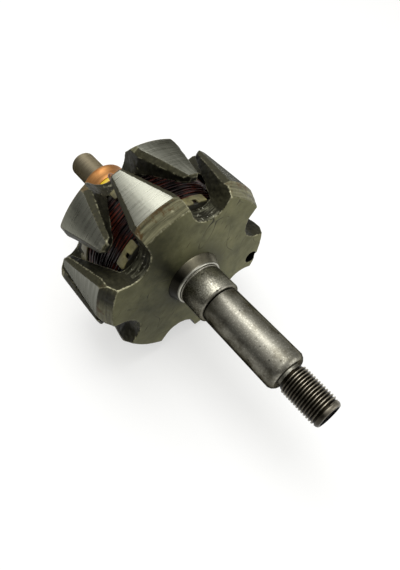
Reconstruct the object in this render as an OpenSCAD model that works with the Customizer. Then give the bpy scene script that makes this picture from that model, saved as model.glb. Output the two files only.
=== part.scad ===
// Claw-pole rotor of a vehicle alternator, lying on its side on two neighbouring claws.
// The shaft runs along X with its threaded pulley end towards plus X, and Z is up.
// The origin is on the shaft axis, at the shoulder that the front bearing sits against.

/* [Shaft] */
// Diameter of the front bearing seat
bearing_seat_d = 25; // [17:0.5:35]
// Length of the front bearing seat
bearing_seat_l = 16.5; // [10:0.5:25]
// Chamfer where the bearing seat steps down to the pulley seat
bearing_seat_chamfer = 0.8; // [0.2:0.1:1.4]
// How far the pulley seat lies below the bearing seat
pulley_seat_step = 1.5; // [0.5:0.1:3]
// Length of the pulley seat
pulley_seat_l = 48.4; // [20:0.1:80]
// Chamfer at the front end of the pulley seat
pulley_seat_chamfer = 1.6; // [0.4:0.1:2.4]
// Outer diameter of the pulley nut thread
thread_d = 16; // [12:1:18]
// Length of the threaded end with its relief groove
thread_l = 25.1; // [12:0.1:40]
// Chamfer at the free end of the thread
thread_chamfer = 1.2; // [0.4:0.1:2]
// Depth of the relief groove behind the thread
thread_relief_cut = 1.2; // [0.8:0.1:2]
// Width of the relief groove behind the thread
thread_relief_w = 2.2; // [1:0.1:4]
// Width across the flats of the hexagon socket in the threaded end
socket_flats = 10; // [5:1:10]
// Depth of the hexagon socket
socket_depth = 10; // [5:0.5:16]
// How far the length inside the pole pieces stands above the bearing seat
pole_seat_step = 0.5; // [0.2:0.1:4]
// Diameter of the rear journal
rear_journal_d = 16; // [10:0.5:20]
// Length of the rear journal behind the slip rings
rear_journal_l = 27; // [15:0.1:50]
// Chamfer at the rear end of the shaft
rear_journal_chamfer = 1.4; // [0.4:0.1:2.4]
// How far the slip ring seat stands above the rear journal
hub_seat_step = 0.5; // [0.2:0.1:2]

/* [Front spacer] */
// Length of the spacer between the front pole piece and the bearing
spacer_l = 5.6; // [3:0.1:12]
// Thickness of the spacer at the bearing
spacer_lip_t = 1.1; // [0.8:0.1:4]
// How far the spacer widens towards the pole piece
spacer_flare = 2.4; // [0:0.1:5]
// Chamfer around the front lip of the spacer
spacer_chamfer = 0.7; // [0.2:0.1:0.8]
// Gap between the shaft and the bore of the spacer
spacer_clearance = 0.2; // [0.05:0.05:0.5]

/* [Pole pieces] */
// Outer diameter over the machined claws
pole_d = 106; // [80:1:130]
// Length over both pole pieces
pole_pack_l = 53; // [40:0.5:80]
// Number of claws on each pole piece
claw_count = 6; // [6:1:8]
// Thickness of the plate that carries the claws
plate_t = 9.8; // [8:0.1:15]
// Length of the cone between the front face and the machined claws
front_cone_l = 7.5; // [3:0.1:9]
// How far that cone rises from the front face to the claws
front_cone_rise = 4.4; // [2:0.1:8]
// Length of the cone between the rear face and the machined claws
rear_cone_l = 5.5; // [3:0.1:9]
// How far that cone rises from the rear face to the claws
rear_cone_rise = 5.3; // [2:0.1:8]
// Share of the outer diameter that one tooth of the plate is wide
tooth_share = 0.2415; // [0.15:0.005:0.27]
// How far the floor of a notch lies below the inside of the claw roots
notch_floor_drop = 4.5; // [2:0.1:8]
// Share by which the round of a notch is larger than one that just touches its sides
notch_round_share = 1.01; // [1.005:0.005:1.05]
// Length of the machined outside of a claw
claw_l = 32.8; // [20:0.1:50]
// Width of a claw at its tip
claw_tip_w = 9.2; // [4:0.1:16]
// Cut corner at each side of a claw tip
claw_tip_corner = 2.6; // [1:0.1:4]
// Turned chamfer around the ends of the claws
claw_tip_chamfer = 1; // [0.4:0.1:2]
// Width of the unmachined bevel along the sides of a claw
claw_bevel = 2; // [0.5:0.1:3.5]
// Thickness of a claw where it leaves the plate
claw_root_t = 11.5; // [6:0.1:16]
// Thickness of a claw at its tip
claw_tip_t = 3.4; // [3:0.1:10]
// Diameter of the core that carries the field winding
core_d = 54; // [40:0.5:70]

/* [Balance hole] */
// Diameter of the drilled balance hole
balance_hole_d = 8; // [4:0.5:12]
// Depth of the balance hole
balance_hole_depth = 7; // [3:0.5:9]
// Distance of the balance hole from the rim of the front face
balance_hole_inset = 3.6; // [2:0.1:12]
// Angle of the balance hole from the middle of its claw
balance_hole_offset = -6; // [-10:0.5:10]

/* [Field winding] */
// Gap between the winding and the inside of the claw roots
coil_clearance = 1.5; // [1:0.1:4]
// Wall of the moulded bobbin under the winding
bobbin_wall = 1.5; // [1:0.1:3]
// Thickness of each bobbin cheek
bobbin_cheek_t = 1.6; // [1:0.1:4]
// Length of the cheek tabs that fold over the winding
bobbin_tab_l = 5.2; // [3:0.1:10]
// Gap between the cheek tabs and the inside of the claw roots
bobbin_tab_clearance = 0.3; // [0.1:0.1:0.8]
// Angle that a cheek tab spans in a notch
bobbin_tab_span = 20; // [16:1:50]
// Width of the slot in the fold of a cheek tab
bobbin_slot_w = 2.6; // [1:0.1:6]
// How far that slot reaches over the winding
bobbin_slot_l = 2.7; // [1.8:0.1:4]

/* [Slip rings] */
// Outer diameter of the slip rings
ring_d = 29.5; // [24:0.5:40]
// Width of each slip ring
ring_w = 10.2; // [6:0.1:16]
// Radial thickness of the slip rings
ring_wall = 3; // [1.5:0.1:4]
// Width of the insulation between the rings
ring_gap = 3; // [2:0.1:6]
// How far the insulation stays below the ring surface
ring_insulation_drop = 0.4; // [0.2:0.1:1.5]
// Length of insulating hub between the rear pole piece and the rings
hub_foot_l = 12.2; // [6:0.1:20]

/* [Winding leads] */
// Diameter of a winding lead in its sleeve
lead_d = 3; // [1.5:0.1:4]
// Gap between a lead and the pole piece it lies along
lead_clearance = 0.1; // [0.05:0.05:0.5]

/* [Rest] */
// Roll about the shaft at which the rotor comes to rest on its claws
rest_roll = 4.8; // [-30:0.1:30]

/* [Hidden] */
$fn = 96;
// Length by which every cut runs past the surface it opens
overrun = bearing_seat_d / 5;
claw_pitch = 360 / claw_count;
front_claw_angle = claw_pitch / 4;
rear_claw_angle = front_claw_angle + claw_pitch / 2;
balance_claw_angle = front_claw_angle + claw_pitch;
bearing_seat_r = bearing_seat_d / 2;
spacer_relief_r = bearing_seat_r - spacer_clearance;
pulley_seat_r = bearing_seat_r - pulley_seat_step;
pole_seat_r = bearing_seat_r + pole_seat_step;
thread_r = thread_d / 2;
rear_journal_r = rear_journal_d / 2;
hub_seat_r = rear_journal_r + hub_seat_step;
spacer_front_r = bearing_seat_r + spacer_lip_t;
pole_r = pole_d / 2;
core_r = core_d / 2;
tooth_w = pole_d * tooth_share;
claw_root_w = tooth_w + claw_bevel / 5;
claw_root_inner_r = pole_r - claw_root_t;
claw_tip_inner_r = pole_r - claw_tip_t;
notch_floor_r = claw_root_inner_r - notch_floor_drop;
// The two sides of a notch meet at this distance from the axis
notch_half_angle = claw_pitch / 2;
notch_apex_r = tooth_w / 2 / sin(notch_half_angle);
// Radius that just touches the floor and both sides of a notch
notch_touch_r = (notch_floor_r - notch_apex_r) * sin(notch_half_angle) / (1 - sin(notch_half_angle));
notch_r = notch_touch_r * notch_round_share;
notch_centre_r = notch_floor_r + notch_r;
// Distance from the middle of the round to the sides of a notch
notch_side_r = (notch_centre_r - notch_apex_r) * sin(notch_half_angle);
notch_side_x = notch_centre_r - notch_side_r * sin(notch_half_angle);
notch_side_y = notch_side_r * cos(notch_half_angle);
notch_mouth_y = (pole_d - notch_apex_r) * tan(notch_half_angle);
// Distance from the axis to the outer edges of a claw, at its root and at its tip
claw_root_edge_r = sqrt(pow(pole_r, 2) - pow(claw_root_w / 2, 2));
claw_tip_edge_r = sqrt(pow(pole_r, 2) - pow(claw_tip_w / 2, 2));
front_face_z = -spacer_l;
rear_face_z = front_face_z - pole_pack_l;
thread_z = bearing_seat_l + pulley_seat_l;
shaft_front_z = thread_z + thread_l;
winding_front_z = front_face_z - plate_t;
winding_rear_z = rear_face_z + plate_t;
bobbin_r = core_r + bobbin_wall;
coil_r = claw_root_inner_r - coil_clearance;
tab_r = claw_root_inner_r - bobbin_tab_clearance;
ring_r = ring_d / 2;
ring_bore_r = ring_r - ring_wall;
insulation_r = ring_r - ring_insulation_drop;
front_ring_z = rear_face_z - hub_foot_l;
rear_ring_z = front_ring_z - ring_w - ring_gap;
hub_rear_z = rear_ring_z - ring_w;
shaft_rear_z = hub_rear_z - rear_journal_l;
lead_r = lead_d / 2;
lead_bend_r = lead_r + lead_clearance;

// Lays a shape that is drawn along Z down along X and rolls it to where it rests
module lay_down() {
    rotate([0, 90, 0])
        rotate([0, 0, rest_roll])
            children();
}

// Ring between two radii, from a lower height upwards
module tube(inner_r, outer_r, low_z, height) {
    translate([0, 0, low_z])
        rotate_extrude()
            translate([inner_r, 0])
                square([outer_r - inner_r, height]);
}

// Turned steel shaft with seats for the bearings, the pulley, the pole pieces and the slip rings
module shaft() {
    color("silver")
        lay_down()
            difference() {
                rotate_extrude()
                    polygon([
                        [0, shaft_rear_z],
                        [rear_journal_r - rear_journal_chamfer, shaft_rear_z],
                        [rear_journal_r, shaft_rear_z + rear_journal_chamfer],
                        [rear_journal_r, hub_rear_z],
                        [hub_seat_r, hub_rear_z],
                        [hub_seat_r, rear_face_z],
                        [pole_seat_r, rear_face_z],
                        [pole_seat_r, front_face_z],
                        [spacer_relief_r, front_face_z],
                        [spacer_relief_r, 0],
                        [bearing_seat_r, 0],
                        [bearing_seat_r, bearing_seat_l - bearing_seat_chamfer],
                        [bearing_seat_r - bearing_seat_chamfer, bearing_seat_l],
                        [pulley_seat_r, bearing_seat_l],
                        [pulley_seat_r, thread_z - pulley_seat_chamfer],
                        [pulley_seat_r - pulley_seat_chamfer, thread_z],
                        [thread_r - thread_relief_cut, thread_z],
                        [thread_r - thread_relief_cut, thread_z + thread_relief_w],
                        [thread_r, thread_z + thread_relief_w],
                        [thread_r, shaft_front_z - thread_chamfer],
                        [thread_r - thread_chamfer, shaft_front_z],
                        [0, shaft_front_z]
                    ]);
                translate([0, 0, shaft_front_z - socket_depth])
                    rotate([0, 0, -rest_roll])
                        cylinder(d = socket_flats / cos(30), h = socket_depth + overrun, $fn = 6);
            }
}

// Turned spacer that the front bearing is pressed against
module bearing_spacer() {
    color("dimgray")
        lay_down()
            rotate_extrude()
                polygon([
                    [bearing_seat_r, front_face_z],
                    [spacer_front_r + spacer_flare, front_face_z],
                    [spacer_front_r, -spacer_chamfer],
                    [spacer_front_r - spacer_chamfer, 0],
                    [bearing_seat_r, 0]
                ]);
}

// Opening between two teeth of the plate, centred on the X axis
module notch_outline() {
    translate([notch_centre_r, 0])
        circle(r = notch_r);
    polygon([
        [notch_side_x, -notch_side_y],
        [pole_d, -notch_mouth_y],
        [pole_d, notch_mouth_y],
        [notch_side_x, notch_side_y]
    ]);
}

// Plate outline with a notch between each two claws, the first claw on the X axis
module plate_outline() {
    difference() {
        circle(r = pole_r + overrun);
        for (index = [0 : claw_count - 1])
            rotate([0, 0, (index + 1 / 2) * claw_pitch])
                notch_outline();
    }
}

// Turned blank of a pole piece, outer face at zero and claws reaching down
module pole_blank(cone_l, cone_rise) {
    rotate_extrude()
        polygon([
            [pole_seat_r, 0],
            [pole_r - cone_rise, 0],
            [pole_r, -cone_l],
            [pole_r, -cone_l - claw_l + claw_tip_chamfer],
            [pole_r - claw_tip_chamfer, -cone_l - claw_l],
            [claw_tip_inner_r, -cone_l - claw_l],
            [claw_root_inner_r, -plate_t],
            [core_r, -plate_t],
            [core_r, -pole_pack_l / 2],
            [pole_seat_r, -pole_pack_l / 2]
        ]);
}

// Block that leaves one tapered claw, pointing along X
module claw_block(reach) {
    translate([core_r, 0, 0])
        rotate([90, 0, 90])
            linear_extrude(height = pole_r)
                polygon([
                    [-claw_root_w / 2, -plate_t / 2],
                    [-claw_root_w / 2, -plate_t],
                    [-claw_tip_w / 2, -reach + claw_tip_corner],
                    [-claw_tip_w / 2 + claw_tip_corner, -reach],
                    [claw_tip_w / 2 - claw_tip_corner, -reach],
                    [claw_tip_w / 2, -reach + claw_tip_corner],
                    [claw_root_w / 2, -plate_t],
                    [claw_root_w / 2, -plate_t / 2]
                ]);
}

// Cutter for a bevel along an edge through the origin, with the material towards minus X and minus Y
module bevel_cutter(length_above, length_below) {
    rotate([0, 0, 45])
        translate([-claw_bevel * cos(45), -claw_root_t / 2, -length_below])
            cube([claw_root_t, claw_root_t, length_above + length_below]);
}

// Bevels on one side of a claw that points along X
module claw_side_bevels(reach) {
    side_angle = atan((claw_root_w - claw_tip_w) / 2 / (reach - plate_t));
    edge_angle = atan((claw_tip_edge_r - claw_root_edge_r) / (reach - plate_t));
    translate([claw_root_edge_r, claw_root_w / 2, -plate_t]) {
        rotate([-side_angle, -edge_angle, 0])
            bevel_cutter(plate_t, reach + overrun);
        bevel_cutter(plate_t + overrun, claw_bevel);
    }
}

// Forged pole piece with its half of the core, the first claw on the X axis
module pole_piece(cone_l, cone_rise) {
    reach = cone_l + claw_l;
    difference() {
        intersection() {
            pole_blank(cone_l, cone_rise);
            translate([0, 0, -pole_pack_l])
                linear_extrude(height = pole_pack_l + overrun)
                    plate_outline();
            union() {
                translate([0, 0, -plate_t])
                    cylinder(r = pole_d, h = plate_t + overrun);
                translate([0, 0, -pole_pack_l])
                    cylinder(r = bobbin_r, h = pole_pack_l);
                for (index = [0 : claw_count - 1])
                    rotate([0, 0, index * claw_pitch])
                        claw_block(reach);
            }
        }
        for (index = [0 : claw_count - 1])
            rotate([0, 0, index * claw_pitch]) {
                claw_side_bevels(reach);
                mirror([0, 1, 0])
                    claw_side_bevels(reach);
            }
    }
}

// Front pole piece, drilled at one claw to balance the rotor
module front_pole_piece() {
    color("darkkhaki")
        lay_down()
            translate([0, 0, front_face_z])
                difference() {
                    rotate([0, 0, front_claw_angle])
                        pole_piece(front_cone_l, front_cone_rise);
                    rotate([0, 0, balance_claw_angle + balance_hole_offset])
                        translate([pole_r - front_cone_rise - balance_hole_inset, 0, -balance_hole_depth])
                            cylinder(d = balance_hole_d, h = balance_hole_depth + overrun);
                }
}

// Rear pole piece, turned half a claw pitch against the front one
module rear_pole_piece() {
    color("darkkhaki")
        lay_down()
            translate([0, 0, rear_face_z])
                rotate([180, 0, rear_claw_angle])
                    pole_piece(rear_cone_l, rear_cone_rise);
}

// Room for the tab that folds over the winding in one notch, centred on the X axis and slotted at its fold
module tab_room() {
    difference() {
        rotate([0, 0, -bobbin_tab_span / 2])
            rotate_extrude(angle = bobbin_tab_span)
                translate([bobbin_r, 0])
                    square([pole_r - bobbin_r, bobbin_tab_l]);
        translate([0, -bobbin_slot_w / 2, -overrun])
            cube([pole_r, bobbin_slot_w, bobbin_slot_l + overrun]);
    }
}

// One cheek of the bobbin with its tabs, standing on zero and facing up
module bobbin_cheek() {
    tube(core_r, coil_r, 0, bobbin_cheek_t);
    for (index = [0 : claw_count - 1])
        rotate([0, 0, index * claw_pitch])
            intersection() {
                tube(coil_r, tab_r, 0, bobbin_tab_l);
                tab_room();
            }
}

// Moulded bobbin, one piece with both cheeks
module bobbin() {
    color("khaki")
        lay_down() {
            tube(core_r, bobbin_r, winding_rear_z, winding_front_z - winding_rear_z);
            translate([0, 0, winding_front_z])
                rotate([180, 0, rear_claw_angle])
                    bobbin_cheek();
            translate([0, 0, winding_rear_z])
                rotate([0, 0, front_claw_angle])
                    bobbin_cheek();
        }
}

// Field winding of enamelled copper wire
module field_coil() {
    color("saddlebrown")
        lay_down()
            tube(bobbin_r, coil_r, winding_rear_z + bobbin_cheek_t,
                 winding_front_z - winding_rear_z - 2 * bobbin_cheek_t);
}

// Moulded insulating hub that carries both slip rings
module slip_ring_hub() {
    color("gold")
        lay_down() {
            tube(hub_seat_r, ring_bore_r, hub_rear_z, rear_face_z - hub_rear_z);
            tube(hub_seat_r, insulation_r, rear_ring_z, ring_gap);
            tube(hub_seat_r, insulation_r, front_ring_z, ring_gap);
        }
}

// Copper slip ring on the side of the pole pieces
module front_slip_ring() {
    color("peru")
        lay_down()
            tube(ring_bore_r, ring_r, front_ring_z - ring_w, ring_w);
}

// Copper slip ring on the side of the shaft end
module rear_slip_ring() {
    color("peru")
        lay_down()
            tube(ring_bore_r, ring_r, hub_rear_z, ring_w);
}

// Sleeved lead from the winding, over the edge of a notch and along the rear face to the hub
module winding_lead(angle) {
    lay_down()
        rotate([0, 0, angle]) {
            translate([notch_floor_r + lead_bend_r, 0, rear_face_z])
                cylinder(r = lead_r, h = plate_t);
            translate([notch_floor_r, 0, rear_face_z])
                rotate([90, 0, 0])
                    rotate([0, 0, -90])
                        rotate_extrude(angle = 90)
                            translate([lead_bend_r, 0])
                                circle(r = lead_r);
            translate([ring_bore_r, 0, rear_face_z - lead_bend_r])
                rotate([0, 90, 0])
                    cylinder(r = lead_r, h = notch_floor_r - ring_bore_r);
        }
}

// Lead from the start of the winding
module start_lead() {
    color("sienna")
        winding_lead(front_claw_angle);
}

// Lead from the end of the winding
module end_lead() {
    color("sienna")
        winding_lead(front_claw_angle + 180);
}

shaft();
bearing_spacer();
front_pole_piece();
rear_pole_piece();
bobbin();
field_coil();
slip_ring_hub();
front_slip_ring();
rear_slip_ring();
start_lead();
end_lead();
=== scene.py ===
import math

import bpy
from mathutils import Euler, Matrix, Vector


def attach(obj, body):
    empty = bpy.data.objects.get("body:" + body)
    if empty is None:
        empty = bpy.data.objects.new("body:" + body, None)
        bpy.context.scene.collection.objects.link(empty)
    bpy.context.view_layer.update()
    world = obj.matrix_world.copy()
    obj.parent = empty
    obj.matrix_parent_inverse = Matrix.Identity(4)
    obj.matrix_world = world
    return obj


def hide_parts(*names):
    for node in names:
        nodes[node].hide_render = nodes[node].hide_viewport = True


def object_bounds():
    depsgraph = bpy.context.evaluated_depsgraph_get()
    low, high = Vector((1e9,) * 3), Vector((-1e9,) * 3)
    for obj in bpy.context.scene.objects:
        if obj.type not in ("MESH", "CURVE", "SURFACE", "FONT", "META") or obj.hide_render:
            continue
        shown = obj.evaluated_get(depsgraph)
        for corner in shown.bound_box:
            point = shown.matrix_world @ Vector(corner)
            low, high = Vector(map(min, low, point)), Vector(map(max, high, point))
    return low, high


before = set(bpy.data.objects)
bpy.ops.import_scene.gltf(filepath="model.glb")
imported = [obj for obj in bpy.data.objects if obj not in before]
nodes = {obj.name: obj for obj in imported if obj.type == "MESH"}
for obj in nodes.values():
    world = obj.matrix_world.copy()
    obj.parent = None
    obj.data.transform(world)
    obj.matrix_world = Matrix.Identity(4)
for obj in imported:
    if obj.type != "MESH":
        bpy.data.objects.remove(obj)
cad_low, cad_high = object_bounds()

scene = bpy.context.scene
MM = 0.001


# Camera
# It looks down on the rotor from the pulley end, as close as the photograph was taken.
camera = bpy.data.cameras.new("camera")
camera.lens = 29.451
camera.sensor_width = 36.0
camera.clip_start = 0.01
camera_object = bpy.data.objects.new("camera", camera)
camera_object.location = (0.112277, -0.101202, 0.188491)
camera_object.rotation_euler = Euler([math.radians(a) for a in (38.4429, -3.0512, 51.7737)], "XYZ")
scene.collection.objects.link(camera_object)
scene.camera = camera_object
scene.view_settings.view_transform = "Standard"


# Floor and studio light
# A white table top, a long soft box over the shaft and a smaller one at the front.
# The walls around the table are left darker, so that turned steel shows its form.
def linear(code):
    """Linear colour of an sRGB hex value."""
    parts = [int(code[i:i + 2], 16) / 255 for i in (1, 3, 5)]
    return [p / 12.92 if p <= 0.04045 else ((p + 0.055) / 1.055) ** 2.4 for p in parts] + [1.0]


def add(tree, kind, inputs=None, **settings):
    """Adds one node: its settings, then its inputs, each a value, a hex colour, a node or a node's output."""
    made = tree.nodes.new(kind)
    for name, value in settings.items():
        setattr(made, name, value)
    for name, value in (inputs or {}).items():
        if isinstance(value, bpy.types.Node):
            value = next(output for output in value.outputs if output.enabled)
        if isinstance(value, bpy.types.NodeSocket):
            tree.links.new(value, made.inputs[name])
        else:
            made.inputs[name].default_value = linear(value) if isinstance(value, str) else value
    return made


def new_material(name):
    """A material without nodes, its tree, and the object coordinates that its patterns use."""
    material = bpy.data.materials.new(name)
    material.use_nodes = True
    tree = material.node_tree
    tree.nodes.clear()
    return material, tree, add(tree, "ShaderNodeTexCoord").outputs["Object"]


bpy.ops.object.select_all(action="DESELECT")
bpy.ops.mesh.primitive_grid_add(x_subdivisions=8, y_subdivisions=8, size=8.0, location=(0, 0, cad_low[2]))
floor = bpy.context.object
floor.name = "table_top"
bpy.ops.object.transform_apply(location=True, rotation=True, scale=True)

# White laminate: the camera and shiny metal see it white with a soft shadow, bounced light finds it grey
laminate, tree, place = new_material("white_laminate")
own_light = 0.58
tint = add(tree, "ShaderNodeTexNoise", {"Vector": place, "Scale": 3.0, "Detail": 2.0})
white = add(tree, "ShaderNodeMix", {"Factor": tint, "A": "#fafaf9", "B": "#fdfdfc"}, data_type="RGBA")
lit = add(tree, "ShaderNodeBsdfDiffuse", {"Color": white})
glow = add(tree, "ShaderNodeEmission", {"Color": white, "Strength": 1.0})
seen = add(tree, "ShaderNodeMixShader", {0: own_light, 1: lit, 2: glow})
bounce = add(tree, "ShaderNodeBsdfDiffuse", {"Color": "#8a8a88"})
ray = add(tree, "ShaderNodeLightPath")
shiny = add(tree, "ShaderNodeMath", {
    0: ray.outputs["Is Glossy Ray"], 1: ray.outputs["Is Transmission Ray"]}, operation="MAXIMUM")
direct = add(tree, "ShaderNodeMath", {0: ray.outputs["Is Camera Ray"], 1: shiny}, operation="MAXIMUM")
top = add(tree, "ShaderNodeMixShader", {0: direct, 1: bounce, 2: seen})
add(tree, "ShaderNodeOutputMaterial", {"Surface": top})
floor.data.materials.append(laminate)

# The room is dark at table height, more so on the left, and bright overhead
world = bpy.data.worlds.new("studio")
scene.world = world
world.use_nodes = True
sky = world.node_tree
way = add(sky, "ShaderNodeTexCoord").outputs["Generated"]
split = add(sky, "ShaderNodeSeparateXYZ", {"Vector": way}).outputs
side = add(sky, "ShaderNodeMapRange", {"Value": split["Y"], "From Min": -0.7, "From Max": 0.7})
wall = add(sky, "ShaderNodeMix", {"Factor": side, "A": "#353534", "B": "#787876"}, data_type="RGBA")
low = add(sky, "ShaderNodeMapRange", {
    "Value": split["Z"], "From Min": 0.0, "From Max": 0.35}, interpolation_type="SMOOTHSTEP")
upper_wall = add(sky, "ShaderNodeMix", {"Factor": side, "A": "#a2a2a0", "B": "#d0d0ce"}, data_type="RGBA")
middle = add(sky, "ShaderNodeMix", {"Factor": low, "A": wall, "B": upper_wall}, data_type="RGBA")
high = add(sky, "ShaderNodeMapRange", {"Value": split["Z"], "From Min": 0.35, "From Max": 1.0})
dome = add(sky, "ShaderNodeMix", {"Factor": high, "A": middle, "B": "#e8e8e6"}, data_type="RGBA")
overhead = add(sky, "ShaderNodeMapRange", {
    "Value": split["Z"], "From Min": 0.6, "From Max": 0.95, "To Min": 0.75, "To Max": 1.8})
sky.links.new(dome.outputs["Result"], sky.nodes["Background"].inputs["Color"])
sky.links.new(overhead.outputs[0], sky.nodes["Background"].inputs["Strength"])

for name, spot, target, size, power in (
        ("long_soft_box", (-0.30, 0.057, 0.70), (-0.30, 0.0, 0.0), (1.0, 0.36), 3.5),
        ("front_soft_box", (0.62, 0.40, 0.20), (0.0, 0.0, 0.0), (0.40, 0.40), 1.4)):
    lamp = bpy.data.lights.new(name, "AREA")
    lamp.shape = "RECTANGLE"
    lamp.size, lamp.size_y = size
    lamp.energy = power
    lamp_object = bpy.data.objects.new(name, lamp)
    lamp_object.location = spot
    aim = Vector(target) - Vector(spot)
    lamp_object.rotation_euler = aim.to_track_quat("-Z", "Y").to_euler()
    scene.collection.objects.link(lamp_object)


# Shaft
# One steel bar turned and ground to the seats of the bearings, pulley, poles and slip rings.
# The pulley end carries a rolled thread and a hexagon socket that a key holds still.
round_steps = 112
merge_gap = 0.002 * MM


def turned(name, profile, steps=round_steps):
    """Turned piece: one vertex extruded along a profile of (x, radius) in mm, then spun round the shaft."""
    bpy.ops.object.select_all(action="DESELECT")
    bpy.ops.mesh.primitive_plane_add(size=MM)
    piece = bpy.context.object
    piece.name = piece.data.name = name
    bpy.ops.object.mode_set(mode="EDIT")
    bpy.ops.mesh.merge(type="CENTER")
    bpy.ops.transform.translate(value=(profile[0][0] * MM, 0, profile[0][1] * MM))
    for (x0, r0), (x1, r1) in zip(profile, profile[1:]):
        bpy.ops.mesh.extrude_vertices_move(
            TRANSFORM_OT_translate={"value": ((x1 - x0) * MM, 0, (r1 - r0) * MM)})
    bpy.ops.mesh.select_all(action="SELECT")
    bpy.ops.mesh.spin(steps=steps, angle=2 * math.pi, center=(0, 0, 0), axis=(1, 0, 0))
    bpy.ops.mesh.select_all(action="SELECT")
    bpy.ops.mesh.remove_doubles(threshold=merge_gap)
    bpy.ops.mesh.normals_make_consistent(inside=False)
    bpy.ops.object.mode_set(mode="OBJECT")
    return piece


def select_only(active, *others):
    """Selects these pieces alone and makes the first one active."""
    bpy.ops.object.select_all(action="DESELECT")
    for piece in (active, *others):
        piece.select_set(True)
    bpy.context.view_layer.objects.active = active


def apply_modifier(piece, kind, **settings):
    """Adds one modifier with its settings and applies it."""
    select_only(piece)
    modifier = piece.modifiers.new(kind.lower(), kind)
    for key, value in settings.items():
        setattr(modifier, key, value)
    bpy.ops.object.modifier_apply(modifier=modifier.name)


def screwed(piece, pitch, turns, steps):
    """Screws an open outline along the shaft, one turn for each pitch in mm, with its faces outwards."""
    apply_modifier(piece, "SCREW", axis="X", angle=2 * math.pi, screw_offset=pitch * MM, iterations=turns,
                   steps=steps, render_steps=steps)
    bpy.ops.object.mode_set(mode="EDIT")
    bpy.ops.mesh.select_all(action="SELECT")
    bpy.ops.mesh.normals_make_consistent(inside=False)
    bpy.ops.object.mode_set(mode="OBJECT")


def round_edges(piece, width, segments=2):
    """Breaks the sharp edges of a piece and shades its faces smooth."""
    apply_modifier(piece, "BEVEL", width=width * MM, segments=segments, limit_method="ANGLE",
                   angle_limit=math.radians(28))
    bpy.ops.object.shade_smooth_by_angle(angle=math.radians(40))


thread_start, thread_end = 67.1, 88.1
thread_root, thread_crest, thread_pitch = 7.05, 8.0, 1.5
socket_flats, socket_entry, socket_depth = 10.0, 5.95, 8.9
socket_mouth_x, socket_flats_x = 89.4, 88.9
shaft_profile = [
    (-121.2, 0.0), (-121.2, 6.6), (-119.8, 8.0), (-94.2, 8.0), (-94.2, 8.5), (-58.6, 8.5), (-58.6, 13.0),
    (-5.6, 13.0), (-5.6, 12.3), (0.0, 12.3), (0.0, 12.5), (0.35, 12.5), (0.55, 12.1), (1.25, 12.1),
    (1.5, 12.5), (15.3, 12.5), (16.2, 11.7), (16.3, 11.2), (16.4, 10.6), (16.9, 10.6), (17.05, 11.0),
    (62.4, 11.0), (63.9, 10.3), (64.9, 9.2), (64.9, 6.8), (66.4, 6.8), (thread_start, thread_root),
    (87.6, thread_root), (thread_end, 7.6), (89.1, 7.4), (89.75, 6.95), (90.0, 6.6), (90.0, 6.2),
    (socket_mouth_x, socket_entry)]
shaft = turned("ground_shaft", shaft_profile)
round_edges(shaft, 0.12)

# The hexagon of the socket: a countersunk ring, bridged to six flats that are broached down to the bottom
bpy.ops.object.select_all(action="DESELECT")
bpy.ops.mesh.primitive_circle_add(vertices=round_steps, radius=socket_entry * MM, fill_type="NOTHING",
                                  location=(socket_mouth_x * MM, 0, 0), rotation=(0, math.radians(90), 0))
socket = bpy.context.object
bpy.ops.object.transform_apply(location=True, rotation=True, scale=True)
bpy.ops.object.mode_set(mode="EDIT")
bpy.ops.mesh.select_all(action="DESELECT")
bpy.ops.mesh.primitive_circle_add(vertices=6, radius=socket_flats / 2 / math.cos(math.radians(30)) * MM,
                                  fill_type="NOTHING", location=(socket_flats_x * MM, 0, 0),
                                  rotation=(0, math.radians(90), 0))
bpy.ops.transform.rotate(value=math.radians(30), orient_axis="X", center_override=(0, 0, 0))
bpy.ops.mesh.subdivide(number_cuts=7)
bpy.ops.mesh.select_all(action="SELECT")
bpy.ops.mesh.bridge_edge_loops()
bpy.ops.mesh.select_all(action="DESELECT")
bpy.ops.object.mode_set(mode="OBJECT")
for vertex in socket.data.vertices:
    vertex.select = vertex.co.x < (socket_mouth_x + socket_flats_x) / 2 * MM
bpy.ops.object.mode_set(mode="EDIT")
bpy.ops.mesh.select_mode(type="EDGE")
bpy.ops.mesh.select_mode(type="VERT")
bpy.ops.mesh.extrude_edges_move(TRANSFORM_OT_translate={"value": (-socket_depth * MM, 0, 0)})
bpy.ops.mesh.edge_face_add()
bpy.ops.mesh.select_all(action="SELECT")
bpy.ops.mesh.normals_make_consistent(inside=True)
bpy.ops.object.mode_set(mode="OBJECT")

# One turn of the thread ridge, screwed along the root and run out at both ends
ridge_foot, ridge_top, ridge_base = 0.66, 0.11, 6.9
ridge_start = thread_start - 0.4
end_r, end_slope = 7.25, 0.45
start_r, start_slope, start_x = 6.8, 0.9, thread_start - 0.3
bpy.ops.object.select_all(action="DESELECT")
bpy.ops.mesh.primitive_circle_add(vertices=4, radius=MM, fill_type="NOTHING")
ridge = bpy.context.object
ridge_profile = ((-ridge_foot, ridge_base), (-ridge_top, thread_crest),
                 (ridge_top, thread_crest), (ridge_foot, ridge_base))
for vertex, (x, r) in zip(ridge.data.vertices, ridge_profile):
    vertex.co = ((ridge_start + x) * MM, 0, r * MM)
screwed(ridge, thread_pitch, int((thread_end - ridge_start) / thread_pitch), 56)
for vertex in ridge.data.vertices:
    x = vertex.co.x / MM
    reach = math.hypot(vertex.co.y, vertex.co.z) / MM
    limit = min(thread_crest, end_r + max(thread_end - x, 0) * end_slope,
                start_r + max(x - start_x, 0) * start_slope)
    if reach > limit:
        vertex.co.y *= limit / reach
        vertex.co.z *= limit / reach
bpy.ops.object.shade_smooth_by_angle(angle=math.radians(30))


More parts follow.
